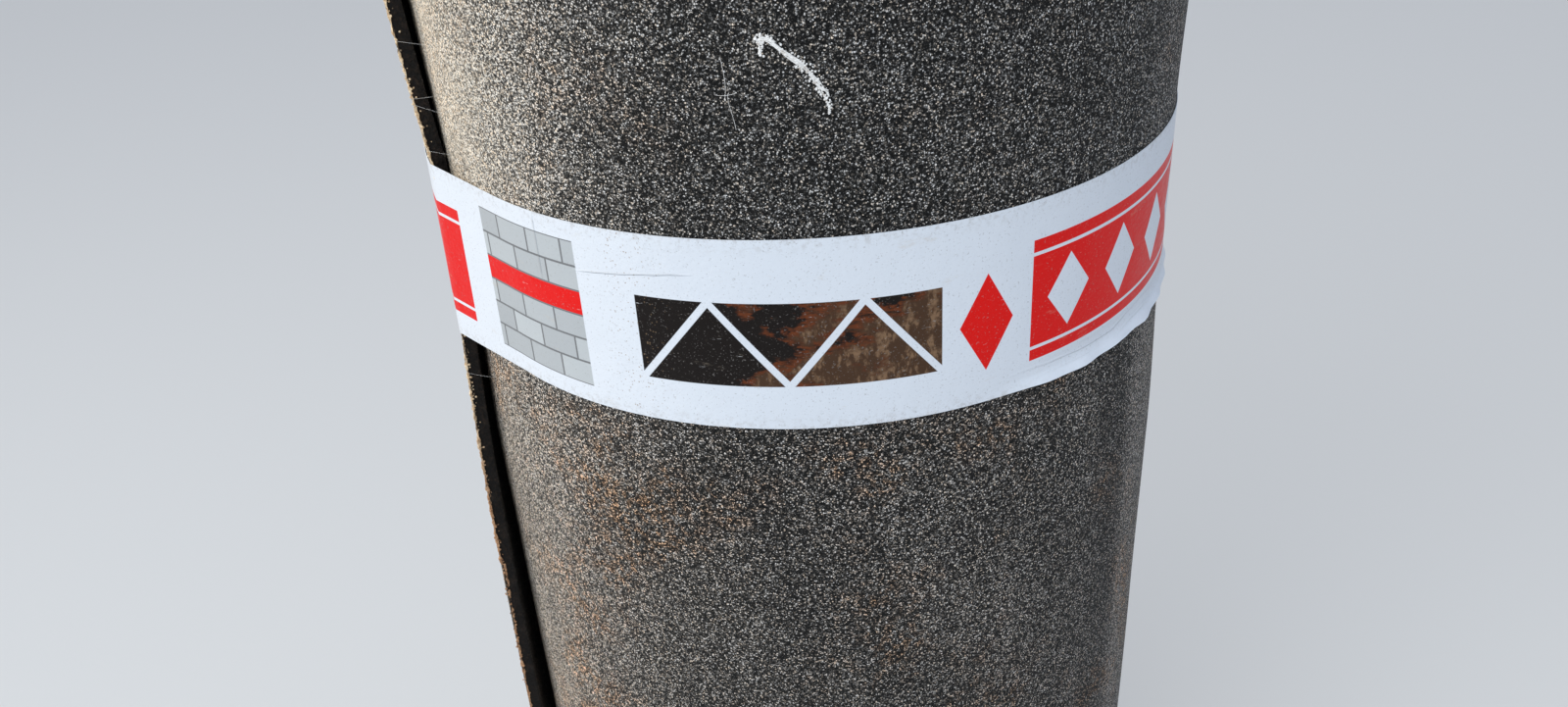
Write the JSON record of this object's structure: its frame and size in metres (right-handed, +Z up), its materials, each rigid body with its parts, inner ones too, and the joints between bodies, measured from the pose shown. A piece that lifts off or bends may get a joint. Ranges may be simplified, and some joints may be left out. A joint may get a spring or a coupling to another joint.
{
  "type": "roll of roofing felt",
  "caption": "Coreless roll of black sanded roofing felt, standing on its end, held shut by a band of printed tape.",
  "frame": {"origin": "on the axis of the bore, at the end that the roll stands on", "axes": "+Z up along the roll's axis, -Y towards the front as pictured, the sheet's cut end at the left"},
  "size_m": [0.2108, 0.2082, 1],
  "materials": {
    "sanded_felt": "bitumen, dusted with pale sand",
    "printed_tape": "glossy white tape with a red, black and grey print"
  },
  "bodies": {
    "root": {"felt_roll": "sanded_felt", "tape_band": "printed_tape"}
  },
  "joints": []
}
